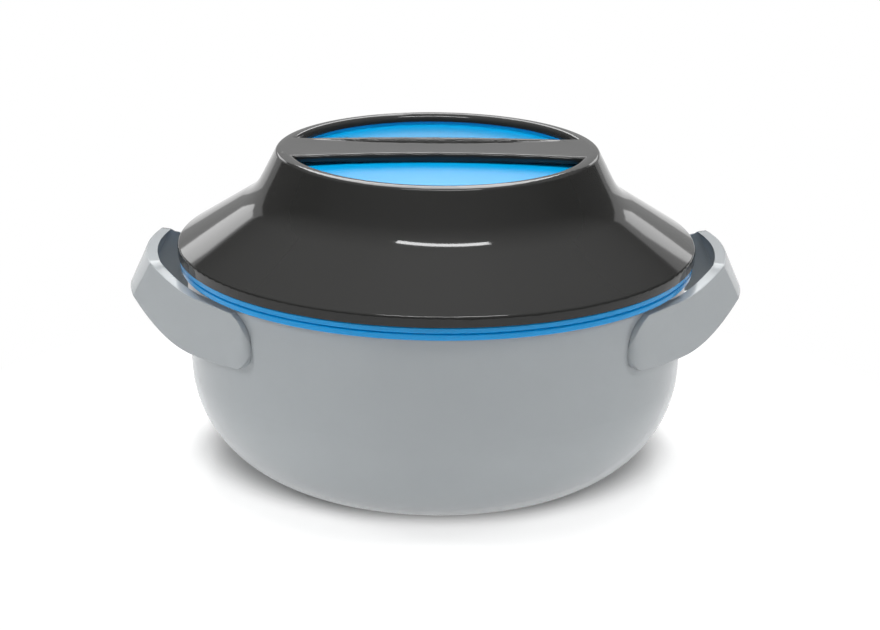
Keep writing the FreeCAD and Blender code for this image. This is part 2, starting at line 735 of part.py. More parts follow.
def handle_screws(doc, name, side):
    """Four pan-head screws with their heads inside the pot's wall."""
    screws = []
    for turn in radial_places(side):
        screw = turned_block(doc, name + "_screw", (
            ("0", "-screw_head"),
            ("screw_head_radius - screw_head / 2", "-screw_head"),
            ("screw_head_radius", "-screw_head / 3"),
            ("screw_head_radius", "0"),
            ("screw_radius", "0"),
            ("screw_radius", "screw_reach"),
            ("0", "screw_reach"),
        ))
        point_radially(doc, screw, turn, SCREW_SEAT)
        screws.append(screw)
    group = doc.addObject("Part::Compound", name)
    group.Links = screws
    return label(group, name)


# ------------------------------------------------------------------- the lid

LID_OUTLINE = (
    ("skirt_radius", LID_BASE),
    ("skirt_radius", f"{LID_BASE} + skirt_height", "skirt_edge_round"),
    ("shoulder_radius", f"{LID_BASE} + shoulder_height", "shoulder_round"),
    ("crown_radius", CROWN_TOP, "crown_round"),
    ("recess_radius", CROWN_TOP, "recess_edge_round"),
    ("recess_radius", LIP_UNDER),
)
# the dish's large rounding is held back where its middle or its side is too short for it
DISH_TURN = "atan(dish_depth / (dish_edge_radius - dish_floor_radius))"
DISH_SLANT = "sqrt((dish_edge_radius - dish_floor_radius) ^ 2 + dish_depth ^ 2)"
DISH_RUN = f"(min(dish_floor_radius; {DISH_SLANT}) * dish_round_share)"
DISH_ROUND = f"min(dish_floor_round; {DISH_RUN} / tan({DISH_TURN} / 2))"
DISH_OUTLINE = (
    ("0", f"{DISH_TOP} - dish_depth"),
    ("dish_floor_radius", f"{DISH_TOP} - dish_depth", DISH_ROUND),
    ("dish_edge_radius", DISH_TOP),
    ("dish_flange_radius", DISH_TOP),
)
LINER_OUTLINE = (
    ("0", f"{LINER_TOP} - liner_plug_depth + liner_rise"),
    ("liner_centre_radius", f"{LINER_TOP} - liner_plug_depth + liner_rise", "liner_centre_round"),
    ("liner_plug_radius", f"{LINER_TOP} - liner_plug_depth", "liner_plug_round"),
    ("liner_plug_radius", LINER_TOP),
    ("liner_flange_radius", LINER_TOP),
)


def rounded_bar(doc, name, radius, side, plan):
    """The part of two crossing prisms inside the crown, with its two long top edges rounded."""
    block = shared(doc, name + "_block", side, plan)
    doc.recompute()
    box = block.Shape.BoundBox
    rounded = doc.addObject("Part::Fillet", name + "_rounded")
    rounded.Base = block
    rounded.Edges = [
        (number, size(doc, radius), size(doc, radius))
        for number, edge in enumerate(block.Shape.Edges, start=1)
        if edge.Length > box.XLength / 2 and edge.CenterOfMass.z > box.Center.z
    ]
    room = doc.addObject("Part::Cylinder", name + "_room")
    room.setExpression("Radius", bound("bar_half_length"))
    room.setExpression("Height", bound(BAR_ROOM))
    return shared(doc, name, rounded, room)


def grip_bar(doc):
    """The strap over the recess: a web flush with the crown and an arched bead on each long edge."""
    ends = "(bar_waist + bar_flare)"
    depth = f"3 * {ends}"
    web_side = strap_sketch(doc, "web_side", False, "bar_half_length", BAR_UNDER, "0", CROWN_TOP, "-web_dip")
    web_plan = strap_sketch(doc, "web_plan", True, "bar_half_length",
                            f"-{ends}", "bar_flare", ends, "-bar_flare")
    pieces = [rounded_bar(doc, "bar_web", "web_round", prism(doc, "web_prism", web_side, depth, True),
                          prism(doc, "web_plan_prism", web_plan, BAR_ROOM))]
    bead_side = strap_sketch(doc, "bead_side", False, "bar_half_length", BAR_UNDER, "0",
                             f"({CROWN_TOP} - bead_end_drop)", "bead_arch")
    bead_prism = prism(doc, "bead_prism", bead_side, depth, True)
    for sign, flare in (("-", "bar_flare"), ("", "-bar_flare")):
        outer = f"({sign}{ends})"
        inner = f"({sign}({ends} - bead_width))"
        low, high = (outer, inner) if sign else (inner, outer)
        plan = strap_sketch(doc, "bead_plan", True, "bar_half_length", low, flare, high, flare)
        pieces.append(rounded_bar(doc, "bar_bead", "bead_round", bead_prism,
                                  prism(doc, "bead_plan_prism", plan, BAR_ROOM)))
    return pieces


def lid_shell(doc):
    """The dark lid: two tiers, crown, grip bar and four lock lugs inside the skirt."""
    wall = turned_sheet(doc, "lid_sheet", LID_OUTLINE, "lid_wall")
    lugs = [
        turned_block(doc, "lock_lug", (
            ("lock_lug_radius", f"{COLLAR_TOP} + lock_lug_lift"),
            ("skirt_radius - lid_wall / 2", f"{COLLAR_TOP} + lock_lug_lift"),
            ("skirt_radius - lid_wall / 2", f"{COLLAR_TOP} + lock_lug_lift + lock_lug_thickness"),
            ("lock_lug_radius", f"{COLLAR_TOP} + lock_lug_lift + lock_lug_thickness"),
        ), sweep="lock_lug_angle", start=f"{number} * 360 / lock_count + lock_lug_lead")
        for number in range(int(SIZES["lock_count"]))
    ]
    return label(fused(doc, "lid_shell", wall, *grip_bar(doc), *lugs), "lid_shell")


def recess_dish(doc):
    return label(turned_sheet(doc, "recess_dish", DISH_OUTLINE, "-dish_wall"), "recess_dish")


def inner_lid(doc):
    """Pressed steel liner that faces the food, with a flange clamped above the plastic ring."""
    return label(turned_sheet(doc, "inner_lid", LINER_OUTLINE, "liner_wall"), "inner_lid")


def lid_ring(doc):
    """Plastic ring that closes the lid from below and holds the seal between two lips."""
    seal_room = "2 * seal_gap"
    return label(turned_block(doc, "lid_ring", (
        ("ring_inner_radius", RING_TOP),
        ("ring_inner_radius", RING_UNDER),
        (f"seal_inner_radius - {seal_room} - ring_lip_wall", RING_UNDER),
        (f"seal_inner_radius - {seal_room} - ring_lip_wall", f"{RING_UNDER} - ring_lip_depth"),
        (f"seal_inner_radius - {seal_room}", f"{RING_UNDER} - ring_lip_depth"),
        (f"seal_inner_radius - {seal_room}", RING_UNDER),
        (f"seal_outer_radius + {seal_room}", RING_UNDER),
        (f"seal_outer_radius + {seal_room}", f"{RING_UNDER} - ring_lip_depth"),
        (f"seal_outer_radius + {seal_room} + ring_lip_wall / 2", f"{RING_UNDER} - ring_lip_depth"),
        (f"seal_outer_radius + {seal_room} + ring_lip_wall / 2", RING_UNDER),
        (f"{lid_inside_radius(RING_UNDER)} - 2 * seat_gap", RING_UNDER),
        (f"{lid_inside_radius(RING_TOP)} - 2 * seat_gap", RING_TOP),
    )), "lid_ring")


def lid_seal(doc):
    return label(turned_block(doc, "lid_seal", (
        ("seal_inner_radius + seal_foot_inset", f"{BOWL_RIM} + seal_gap"),
        ("seal_outer_radius - seal_foot_inset", f"{BOWL_RIM} + seal_gap"),
        ("seal_outer_radius", f"{BOWL_RIM} + seal_gap + seal_foot_inset"),
        ("seal_outer_radius", f"{RING_UNDER} - seal_gap"),
        ("seal_inner_radius", f"{RING_UNDER} - seal_gap"),
        ("seal_inner_radius", f"{BOWL_RIM} + seal_gap + seal_foot_inset"),
    )), "lid_seal")


def lid_foam(doc):
    """Foam that fills the lid between its shell, the dish, the plastic ring and the liner."""
    block = turned_block(doc, "lid_block", (("0", CROWN_TOP),) + LID_OUTLINE[3::-1] + (("0", LID_BASE),))
    shell_room = turned_sheet(doc, "lid_wall_room", LID_OUTLINE[:4], "lid_wall + foam_gap")
    dish_room = turned_room(doc, "dish_room", DISH_OUTLINE, (
        ("dish_flange_radius", CROWN_TOP),
        ("0", CROWN_TOP),
    ), "-(dish_wall + foam_gap)")
    liner_room = turned_room(doc, "liner_room", LINER_OUTLINE[:-1] + (
        ("skirt_radius", LINER_TOP),
    ), (
        ("skirt_radius", "pot_wall_height"),
        ("0", "pot_wall_height"),
    ), "liner_wall + foam_gap")
    crown_room = turned_block(doc, "crown_room", (
        ("0", f"{DISH_TOP} - dish_wall - foam_gap"),
        ("skirt_radius", f"{DISH_TOP} - dish_wall - foam_gap"),
        ("skirt_radius", f"{CROWN_TOP} + lid_wall"),
        ("0", f"{CROWN_TOP} + lid_wall"),
    ))
    return label(cut(doc, "lid_foam", block, shell_room, dish_room, liner_room, crown_room), "lid_foam")


# ------------------------------------------------------------------- writing

def check(doc, pieces):
    """Stop on any failed object or on a sub-part that is no sound solid."""
    for item in doc.Objects:
        if "Invalid" in item.State or "Error" in item.State:
            raise RuntimeError(f"{item.Name} failed: {item.State} {item.getStatusString()}")
    for piece in pieces:
        if piece.Shape.isNull() or not piece.Shape.isValid() or not piece.Shape.Solids:
            raise RuntimeError(f"{piece.Label} is not a sound solid")


def main():
    doc = FreeCAD.newDocument("casserole")
    fill_sheet(doc)
    pot = pot_solid(doc)
    loop = handle_loop(doc)
    pieces = [
        outer_shell(doc),
        base_cover(doc),
        fill_plug(doc),
        body_foam(doc, pot),
        inner_bowl(doc),
        rim_ring(doc),
        handle(doc, "right_handle", "0", loop, pot),
        handle(doc, "left_handle", "180", loop, pot),
        handle_screws(doc, "right_handle_screws", "0"),
        handle_screws(doc, "left_handle_screws", "180"),
        lid_shell(doc),
        recess_dish(doc),
        lid_foam(doc),
        inner_lid(doc),
        lid_ring(doc),
        lid_seal(doc),
    ]
    doc.recompute()
    check(doc, pieces)
    os.makedirs("parts", exist_ok=True)
    for piece in pieces:
        piece.Shape.exportStep(f"parts/{piece.Label}.step")
        print(piece.Label, len(piece.Shape.Solids), round(piece.Shape.Volume / 1000, 1), "cm3")


main()
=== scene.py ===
import math

import bmesh
import bpy
from bpy.props import FloatProperty, FloatVectorProperty, PointerProperty
from mathutils import Matrix, Vector


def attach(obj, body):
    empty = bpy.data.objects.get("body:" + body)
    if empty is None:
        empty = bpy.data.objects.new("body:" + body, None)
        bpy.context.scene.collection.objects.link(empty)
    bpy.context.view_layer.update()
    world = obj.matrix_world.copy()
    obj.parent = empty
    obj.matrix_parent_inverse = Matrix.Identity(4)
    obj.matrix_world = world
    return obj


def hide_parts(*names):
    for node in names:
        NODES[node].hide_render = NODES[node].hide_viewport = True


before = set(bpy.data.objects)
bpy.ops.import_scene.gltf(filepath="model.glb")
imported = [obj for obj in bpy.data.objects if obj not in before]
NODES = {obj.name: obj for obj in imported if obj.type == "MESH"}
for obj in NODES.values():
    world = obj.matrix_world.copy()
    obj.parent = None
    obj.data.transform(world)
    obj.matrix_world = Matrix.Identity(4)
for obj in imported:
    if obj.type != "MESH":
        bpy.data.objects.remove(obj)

bl_info = {
    "name": "Insulated casserole",
    "version": (1, 0, 0),
    "blender": (4, 5, 0),
    "location": "View3D > Sidebar > Casserole",
    "description": "Finishes the insulated casserole: moulded shells, steel bowl and studio",
    "category": "Object",
}

MM = 0.001


def linear(code):
    """A six-figure sRGB hex colour as three linear values."""
    parts = [int(code[i:i + 2], 16) / 255 for i in (1, 3, 5)]
    return [p / 12.92 if p <= 0.04045 else ((p + 0.055) / 1.055) ** 2.4 for p in parts]


# ------------------------------------------------------------------ properties

def colour(name, about, code):
    return FloatVectorProperty(name=name, description=about, subtype="COLOR", size=3,
                               min=0.0, max=1.0, default=linear(code))


def length(name, about, millimetres):
    return FloatProperty(name=name, description=about, unit="LENGTH", default=millimetres * MM)


class CasseroleColours(bpy.types.PropertyGroup):
    grey: colour("Shell grey", "Colour of the pot's shell and handles", "#9EA3A6")
    # painted shade: the dish's plastic made darker for the shadow under the lid's skirt
    blue: colour("Trim blue", "Colour of the collar round the pot's mouth", "#038ED0")
    charcoal: colour("Lid charcoal", "Colour of the lid's shell", "#252524")
    # painted light: the collar's plastic made lighter where the lid's top is lit
    dish: colour("Dish blue", "Colour of the dish in the lid", "#02A0DE")
    white: colour("Ring white", "Colour of the ring that closes the lid from below", "#E4E4E0")
    foam: colour("Foam cream", "Colour of the insulating foam", "#E3D3A4")
    seal: colour("Seal", "Colour of the silicone seal", "#D2D4D2")
    steel: colour("Steel", "Tint of the stainless steel bowl and liner", "#C9C7C3")
    floor: colour("Floor", "Colour of the studio floor", "#F2F2F2")


class CasseroleSizes(bpy.types.PropertyGroup):
    orange_peel: length("Mould waviness", "Spacing of the slow waves of a moulded gloss face", 7.0)
    satin_grain: length("Mould grain", "Spacing of the fine grain that dulls a moulded face", 0.35)
    spun_line: length("Spinning lines", "Spacing of the turning marks on the steel", 0.5)
    foam_cell: length("Foam cells", "Width of the cells of the insulating foam", 0.8)
    handle_edge: length("Handle edge", "Rounding of the handles' crisp edges", 0.8)


# ------------------------------------------------------------------- materials

def add(tree, kind, inputs=None, **settings):
    """Add a node, set its properties and then its sockets, each to a value or a link."""
    made = tree.nodes.new(kind)
    for name, value in settings.items():
        setattr(made, name, value)
    for name, value in (inputs or {}).items():
        if isinstance(value, bpy.types.NodeSocket):
            tree.links.new(value, made.inputs[name])
        else:
            made.inputs[name].default_value = value
    return made


def new_material(name):
    """An empty material with its output node."""
    material = bpy.data.materials.new(name)
    material.use_nodes = True
    tree = material.node_tree
    tree.nodes.clear()
    return material, tree, add(tree, "ShaderNodeOutputMaterial")


def own_place(tree):
    """Place on the object itself, in metres."""
    return add(tree, "ShaderNodeTexCoord").outputs["Object"]


def per_metre(spacing):
    """Noise scale that puts one feature in each spacing."""
    return 1.0 / spacing


def noise(tree, place, scale, detail):
    """Noise over the object, from 0 to 1."""
    made = add(tree, "ShaderNodeTexNoise", {"Vector": place, "Scale": scale, "Detail": detail})
    return made.outputs["Fac"]


def shaded(tint, share=1.0):
    """A colour at a share of its strength, with the fourth value that a socket wants."""
    return [min(part * share, 1.0) for part in tint] + [1.0]


def blend(tree, factor, first, second):
    """One colour turning into another as the factor goes from 0 to 1."""
    made = add(tree, "ShaderNodeMix", {"Factor": factor, "A": first, "B": second},
               data_type="RGBA")
    return made.outputs["Result"]


# a moulded face: the shares of its colour and roughness that it wanders between, and how many
# of its slow waves go into one faint flow mark
MOULDED_SHADES = (0.94, 1.03)
MOULDED_GLOSSES = (0.8, 1.2)
WAVES_IN_FLOW_MARK = 6


def moulded(name, tint, roughness, wave_height, grain_height, ior=1.49):
    """Injection-moulded thermoplastic: slow waviness, fine grain and faint flow marks."""
    sizes = bpy.context.scene.casserole_sizes
    material, tree, output = new_material(name)
    place = own_place(tree)
    waves = noise(tree, place, per_metre(sizes.orange_peel), 2.0)
    grain = noise(tree, place, per_metre(sizes.satin_grain), 3.0)
    flow = noise(tree, place, per_metre(sizes.orange_peel * WAVES_IN_FLOW_MARK), 4.0)
    shade = blend(tree, flow, *(shaded(tint, share) for share in MOULDED_SHADES))
    smoothest, dullest = (roughness * share for share in MOULDED_GLOSSES)
    dull = add(tree, "ShaderNodeMapRange",
               {"Value": grain, "To Min": smoothest, "To Max": dullest})
    slow = add(tree, "ShaderNodeBump",
               {"Height": waves, "Distance": wave_height, "Strength": 1.0})
    fine = add(tree, "ShaderNodeBump",
               {"Height": grain, "Distance": grain_height, "Strength": 1.0,
                "Normal": slow.outputs["Normal"]})
    shader = add(tree, "ShaderNodeBsdfPrincipled",
                 {"Base Color": shade, "Roughness": dull.outputs["Result"],
                  "Normal": fine.outputs["Normal"], "IOR": ior})
    tree.links.new(shader.outputs["BSDF"], output.inputs["Surface"])
    return material


def moulded_grey_polypropylene():
    # smooth satin gloss with a soft sheen over the mould's slow waviness
    return moulded("moulded_grey_polypropylene", bpy.context.scene.casserole_colours.grey,
                   0.2, 0.010 * MM, 0.0012 * MM)


def moulded_blue_polypropylene(name, tint):
    # strong even colour under a clear gloss; the collar's and the dish's tints are shaded and lit
    # copies of one plastic: painted shade on the collar, painted light in the dish
    return moulded(name, tint, 0.2, 0.008 * MM, 0.0008 * MM, ior=1.43)


def moulded_charcoal_abs():
    # nearly black and polished, so the room shows in it as sharp bands
    return moulded("moulded_charcoal_abs", bpy.context.scene.casserole_colours.charcoal,
                   0.075, 0.004 * MM, 0.0004 * MM, ior=1.42)


def moulded_white_polypropylene():
    # plain satin white of an inside part
    return moulded("moulded_white_polypropylene", bpy.context.scene.casserole_colours.white,
                   0.38, 0.01 * MM, 0.002 * MM)


def moulded_silicone():
    # soft dull rubber, a little cloudy
    return moulded("moulded_silicone", bpy.context.scene.casserole_colours.seal,
                   0.55, 0.01 * MM, 0.004 * MM)


# spun steel: roughness from its brightest ring to its dullest, the colour share of a dark ring,
# the height of a turning mark, and the scale of the patches where the tool pressed less
STEEL_ROUGHNESS = (0.16, 0.42)
STEEL_DARK_RING = 0.9
TURNING_MARK = 0.004 * MM
PATCHES_PER_METRE = 30.0


def spun_stainless_steel():
    """Stainless steel pressed and then spun: fine rings about the bowl's axis."""
    # soft metal gleam stretched across the rings, duller in patches
    sizes = bpy.context.scene.casserole_sizes
    tint = bpy.context.scene.casserole_colours.steel
    material, tree, output = new_material("spun_stainless_steel")
    place = own_place(tree)
    parts = add(tree, "ShaderNodeSeparateXYZ", {"Vector": place})
    flat = add(tree, "ShaderNodeCombineXYZ", {"X": parts.outputs["X"], "Y": parts.outputs["Y"]})
    radius = add(tree, "ShaderNodeVectorMath", {0: flat.outputs["Vector"]}, operation="LENGTH")
    along = add(tree, "ShaderNodeMath", {0: radius.outputs["Value"], 1: parts.outputs["Z"]},
                operation="ADD")
    rings = add(tree, "ShaderNodeTexNoise",
                {"W": along.outputs["Value"], "Scale": per_metre(sizes.spun_line), "Detail": 4.0},
                noise_dimensions="1D").outputs["Fac"]
    patches = noise(tree, place, PATCHES_PER_METRE, 3.0)
    both = add(tree, "ShaderNodeMath", {0: rings, 1: patches}, operation="MULTIPLY")
    dull = add(tree, "ShaderNodeMapRange",
               {"Value": both.outputs["Value"], "To Min": STEEL_ROUGHNESS[0],
                "To Max": STEEL_ROUGHNESS[1]})
    shade = blend(tree, rings, shaded(tint, STEEL_DARK_RING), shaded(tint))
    lines = add(tree, "ShaderNodeBump", {"Height": rings, "Distance": TURNING_MARK})
    turn = add(tree, "ShaderNodeTangent", direction_type="RADIAL", axis="Z")
    shader = add(tree, "ShaderNodeBsdfPrincipled",
                 {"Base Color": shade, "Metallic": 1.0,
                  "Roughness": dull.outputs["Result"], "Anisotropic": 0.5,
                  "Normal": lines.outputs["Normal"], "Tangent": turn.outputs["Tangent"]})
    tree.links.new(shader.outputs["BSDF"], output.inputs["Surface"])
    return material


FOAM_DARK_CELL = 0.8
FOAM_PIT = 0.2 * MM


def poured_polyurethane_foam():
    """Rigid foam poured in place: small closed cells with a dull skin."""
    # chalky cream, each cell darker in its middle
    sizes = bpy.context.scene.casserole_sizes
    tint = bpy.context.scene.casserole_colours.foam
    material, tree, output = new_material("poured_polyurethane_foam")
    cells = add(tree, "ShaderNodeTexVoronoi",
                {"Vector": own_place(tree), "Scale": per_metre(sizes.foam_cell)})
    shade = blend(tree, cells.outputs["Distance"], shaded(tint, FOAM_DARK_CELL), shaded(tint))
    pits = add(tree, "ShaderNodeBump", {"Height": cells.outputs["Distance"], "Distance": FOAM_PIT})
    shader = add(tree, "ShaderNodeBsdfPrincipled",
                 {"Base Color": shade, "Roughness": 0.85, "Normal": pits.outputs["Normal"]})
    tree.links.new(shader.outputs["BSDF"], output.inputs["Surface"])
    return material


def finish_node(name, material):
    """Give a CAD node its material."""
    slots = NODES[name].data.materials
    slots.clear()
    slots.append(material)


# ---------------------------------------------------------------------- pieces

SHARP_ANGLE = math.radians(32)
MERGED_BELOW = 0.001 * MM


def add_piece(name, shape, body, stands_for, material, plain=(0.0, 0.0)):
    """Turn a closed bmesh into a piece that rides on a body and stands for a CAD node.

    Between the two heights of plain, in mm, its shading isn't evened towards the large faces.
    """
    bmesh.ops.remove_doubles(shape, verts=shape.verts, dist=MERGED_BELOW)
    bmesh.ops.recalc_face_normals(shape, faces=shape.faces)
    mesh = bpy.data.meshes.new(name)
    shape.to_mesh(mesh)
    shape.free()
    mesh.shade_smooth()
    mesh.set_sharp_from_angle(angle=SHARP_ANGLE)
    mesh.materials.append(material)
    piece = bpy.data.objects.new(name, mesh)
    bpy.context.scene.collection.objects.link(piece)
    evened = piece.vertex_groups.new(name="even_flats")
    evened.add([vert.index for vert in mesh.vertices
                if not plain[0] * MM < vert.co.z < plain[1] * MM], 1.0, "REPLACE")
    flats = piece.modifiers.new("even_flats", "WEIGHTED_NORMAL")
    flats.keep_sharp = True
    flats.vertex_group = evened.name
    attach(piece, body)
    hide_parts(stands_for)
    return piece


# radius and height in mm of the dish, from its middle out over its flange and back below
DISH_PROFILE = ((0.0, 161.4), (15.0, 161.3), (30.0, 160.99), (45.0, 160.48), (60.0, 159.77),
                (69.4, 159.25), (70.2, 159.6), (70.4, 161.0), (75.5, 161.0), (75.5, 159.05),
                (66.0, 159.05), (60.0, 158.9), (30.0, 159.5), (0.0, 159.8))
TURN_STEPS = 144


def turned(profile):
    """A solid of revolution about the pot's axis from radius and height in mm."""
    shape = bmesh.new()
    points = [shape.verts.new((radius * MM, 0.0, height * MM)) for radius, height in profile]
    edges = [shape.edges.new(pair) for pair in zip(points, points[1:])]
    bmesh.ops.spin(shape, geom=points + edges, cent=(0, 0, 0), axis=(0, 0, 1),
                   angle=2 * math.pi, steps=TURN_STEPS, use_merge=True)
    return shape


# the crown's outer edge in mm: centre and radius of the CAD shell's round and how near a vertex
# has to be to count as on it, then the gentle curve and the tight turn that replace it, the tilt
# at which one takes over from the other, and where the gentle curve begins
CAD_ROUND = (73.3, 158.8, 6.0)
ON_ROUND = 0.06
GENTLE_ROUND, TIGHT_ROUND, TIGHT_FROM = 9.5, 2.0, math.radians(18)
GENTLE_START, CROWN_HEIGHT = 73.63, 164.8

# between these heights in mm the shell's own smooth shading is kept
SHOULDER_HEIGHTS = (122.0, 160.0)


def crown_with_soft_land():
    """The lid's shell with its crown's edge drawn as a gentle curve that ends in a tight turn."""
    shape = bmesh.new()
    shape.from_mesh(NODES["lid_shell"].data)
    bmesh.ops.remove_doubles(shape, verts=shape.verts, dist=MERGED_BELOW)
    for vert in shape.verts:
        radius, height = math.hypot(vert.co.x, vert.co.y) / MM, vert.co.z / MM
        across, up = radius - CAD_ROUND[0], height - CAD_ROUND[1]
        if across < -ON_ROUND or up < 0:
            continue
        if abs(math.hypot(across, up) - CAD_ROUND[2]) > ON_ROUND:
            continue
        tilt = math.atan2(across, up)
        gentle, tight = min(tilt, TIGHT_FROM), max(tilt, TIGHT_FROM)
        moved = (GENTLE_START + GENTLE_ROUND * math.sin(gentle)
                 + TIGHT_ROUND * (math.sin(tight) - math.sin(TIGHT_FROM)))
        vert.co.x *= moved / radius
        vert.co.y *= moved / radius
        vert.co.z = (CROWN_HEIGHT - GENTLE_ROUND * (1 - math.cos(gentle))
                     - TIGHT_ROUND * (math.cos(TIGHT_FROM) - math.cos(tight))) * MM
    return shape


# The handle in mm: a pad on the pot, a straight run on a tangent, a crisp corner, a bowed end.
# The pad lies between two angles; its rounds are at its top, its lower corner and its face's end.
PAD_RADIUS = 124.0
PAD_RUN_ANGLE = math.radians(40)
PAD_END_ANGLE = math.radians(44.8)
PAD_ROUNDS = (14.0, 9.0, 3.4)
# radius of the pot's wall behind the top and the lower edge, and the band's thickness
SKIN_RADII = (120.6, 119.2)
BAND_WALL = 5.5
# each edge's run: its length, where it leaves the pad's level, its height there and at the corner
RUN_TOP = (63.5, 26.0, 106.4, 115.4)
RUN_LOW = (79.0, 32.0, 78.2, 95.5)
# how far each edge lies above that height on the pad
PAD_LIFTS = (0.0, 2.0)
# each edge's reach and height in the middle of the bowed end
END_TOP = (140.0, 115.8)
END_LOW = (148.5, 97.0)
PAD_STEPS, RUN_STEPS, END_STEPS = 6, 18, 8
# the first section of the pad, as a share of a step, so that its end isn't a knife edge
FIRST_SECTION = 0.6
EDGE_SEGMENTS = 3


def drawn_in(distance, radius):
    """How far a round corner has drawn in at a distance from its end."""
    left = max(radius - distance, 0.0)
    return radius - math.sqrt(radius * radius - left * left)


def pad_sections():
    """Sections of the pad on the pot's wall, from its end to where the band leaves it."""
    pad_length = (PAD_END_ANGLE - PAD_RUN_ANGLE) * PAD_RADIUS
    for step in range(PAD_STEPS):
        gone = ((step + FIRST_SECTION) / PAD_STEPS) ** 2 * pad_length
        angle = PAD_END_ANGLE - gone / PAD_RADIUS
        out = Vector((math.cos(angle), math.sin(angle), 0.0))
        face = out * (PAD_RADIUS - drawn_in(gone, PAD_ROUNDS[2]))
        top = Vector((0.0, 0.0, RUN_TOP[2] - drawn_in(gone, PAD_ROUNDS[0])))
        low = Vector((0.0, 0.0, RUN_LOW[2] + PAD_LIFTS[1] + drawn_in(gone, PAD_ROUNDS[1])))
        yield face + top, face + low, out * SKIN_RADII[1] + low, out * SKIN_RADII[0] + top


def run_sections(outward, along):
    """Sections of the straight run from the pad to the crisp corner."""
    for step in range(RUN_STEPS):
        share = step / RUN_STEPS
        corners = []
        for (length, start, height, reached), skin, lift in zip((RUN_TOP, RUN_LOW), SKIN_RADII,
                                                               PAD_LIFTS):
            gone = share * length
            rise = max(gone - start, 0.0) / (length - start)
            place = outward * PAD_RADIUS + along * gone
            fall = max(start - gone, 0.0) / start
            place.z = height + (reached - height) * rise * rise + lift * fall * fall
            wall = BAND_WALL
            if gone < skin:
                wall = min(wall, PAD_RADIUS - math.sqrt(skin * skin - gone * gone))
            corners += [place, place - outward * wall]
        yield corners[0], corners[2], corners[3], corners[1]


def end_sections(outward, along):
    """Sections of the bowed end from the crisp corner to the handle's middle."""
    for step in range(END_STEPS + 1):
        share = 1.0 - step / END_STEPS
        corners = []
        for (length, start, height, reached), (reach, middle) in ((RUN_TOP, END_TOP),
                                                                  (RUN_LOW, END_LOW)):
            corner = outward * PAD_RADIUS + along * length
            bow = reach - corner.x
            place = Vector((reach - bow * share * share, corner.y * share,
                            middle + (reached - middle) * share * share))
            out = Vector((1.0, 2 * bow * share / corner.y, 0.0)).normalized()
            if step == 0:
                out = (out + outward).normalized()
            corners += [place, place - out * BAND_WALL]
        yield corners[0], corners[2], corners[3], corners[1]


def band_sections():
    """Sections of a whole handle in metres, each with two outer and two inner corners."""
    outward = Vector((math.cos(PAD_RUN_ANGLE), math.sin(PAD_RUN_ANGLE), 0.0))
    along = Vector((outward.y, -outward.x, 0.0))
    half = [[corner * MM for corner in section]
            for section in (*pad_sections(), *run_sections(outward, along),
                            *end_sections(outward, along))]
    flip = Matrix.Scale(-1.0, 4, (0.0, 1.0, 0.0))
    return half + [[flip @ corner for corner in section] for section in reversed(half[:-1])]


def handle_band(turn):
    """One handle: a section carried round the loop from pad to pad, its long edges eased."""
    sections = band_sections()
    middle = len(sections) // 2
    crisp_corners = (middle - END_STEPS, middle + END_STEPS)
    shape = bmesh.new()
    now = [shape.verts.new(corner) for corner in sections[0]]
    face = shape.faces.new(now)
    crisp = list(face.edges)
    for index, section in enumerate(sections[1:], 1):
        made = bmesh.ops.extrude_face_region(shape, geom=[face])["geom"]
        if index > 1:
            bmesh.ops.delete(shape, geom=[face], context="FACES_ONLY")
        face = next(item for item in made if isinstance(item, bmesh.types.BMFace))
        fresh = [min(face.verts, key=lambda v: (v.co - old.co).length) for old in now]
        for vert, corner in zip(fresh, section):
            vert.co = corner
        crisp += [shape.edges.get(pair) for pair in zip(now, fresh)]
        if index in crisp_corners:
            crisp.append(shape.edges.get(fresh[:2]))
        now = fresh
    crisp += list(face.edges)
    ease = bpy.context.scene.casserole_sizes.handle_edge
    bmesh.ops.bevel(shape, geom=[edge for edge in crisp if edge and edge.is_valid], offset=ease,
                    offset_type="OFFSET", segments=EDGE_SEGMENTS, profile=0.5, affect="EDGES",
                    material=-1, clamp_overlap=True)
    bmesh.ops.rotate(shape, verts=shape.verts, matrix=Matrix.Rotation(turn, 3, "Z"))
    return shape


# ----------------------------------------------------------------------- studio

# the camera, in pixels of a picture 880 wide, metres and radians
PICTURE_WIDTH = 880.0
FOCAL_PIXELS = 2246.18
AXIS_PIXEL = 435.65
SENSOR_WIDTH = 36.0
CAMERA_BACK = 1048.38 * MM
CAMERA_HEIGHT = 420.96 * MM
CAMERA_PITCH = 0.31431
CAMERA_ROLL = 0.01247
CAMERA_AZIMUTH = math.radians(-1.5)

# the softboxes: place and size in metres, power in watts, whether gloss shows it and whether it
# lights matt faces
LAMPS_LOOK_AT = (0.0, 0.0, 0.12)
LAMPS = (
    ("strip", (0.05, -0.55, 2.0), (1.25, 0.2), 17.0, True, False),
    ("key", (0.03, -0.82, 1.8), (0.42, 0.42), 4.5, False, True),
    ("key_left", (-1.35, -0.4, 1.0), (0.5, 0.5), 8.0, False, True),
    ("key_right", (1.35, -0.4, 1.0), (0.5, 0.5), 6.0, False, True),
    ("front", (0.0, -1.5, 0.75), (1.4, 0.5), 3.0, False, True),
    ("top", (0.0, 0.1, 2.2), (1.1, 1.1), 34.0, False, True),
    ("rear_top", (0.0, 2.0, 1.79), (0.95, 1.45), 18.5, True, False),
    ("rear_left", (-1.27, 2.72, 1.05), (0.8, 0.62), 3.0, True, True),
    ("rear_right", (1.27, 2.72, 1.05), (0.8, 0.62), 2.4, True, True),
)

# the floor: its radius and corners, its paper's grain, the share of its colour that a look at it
# shows, which paints it darker, and the painted glow that turns open paper white
FLOOR_RADIUS, FLOOR_CORNERS = 14.0, 96
FIBRES_PER_METRE, FIBRE_HEIGHT = 400.0, 0.02 * MM
PAINTED_SHADE_SHARE = 0.62
PAINTED_FLOOR_GLOW = 0.72
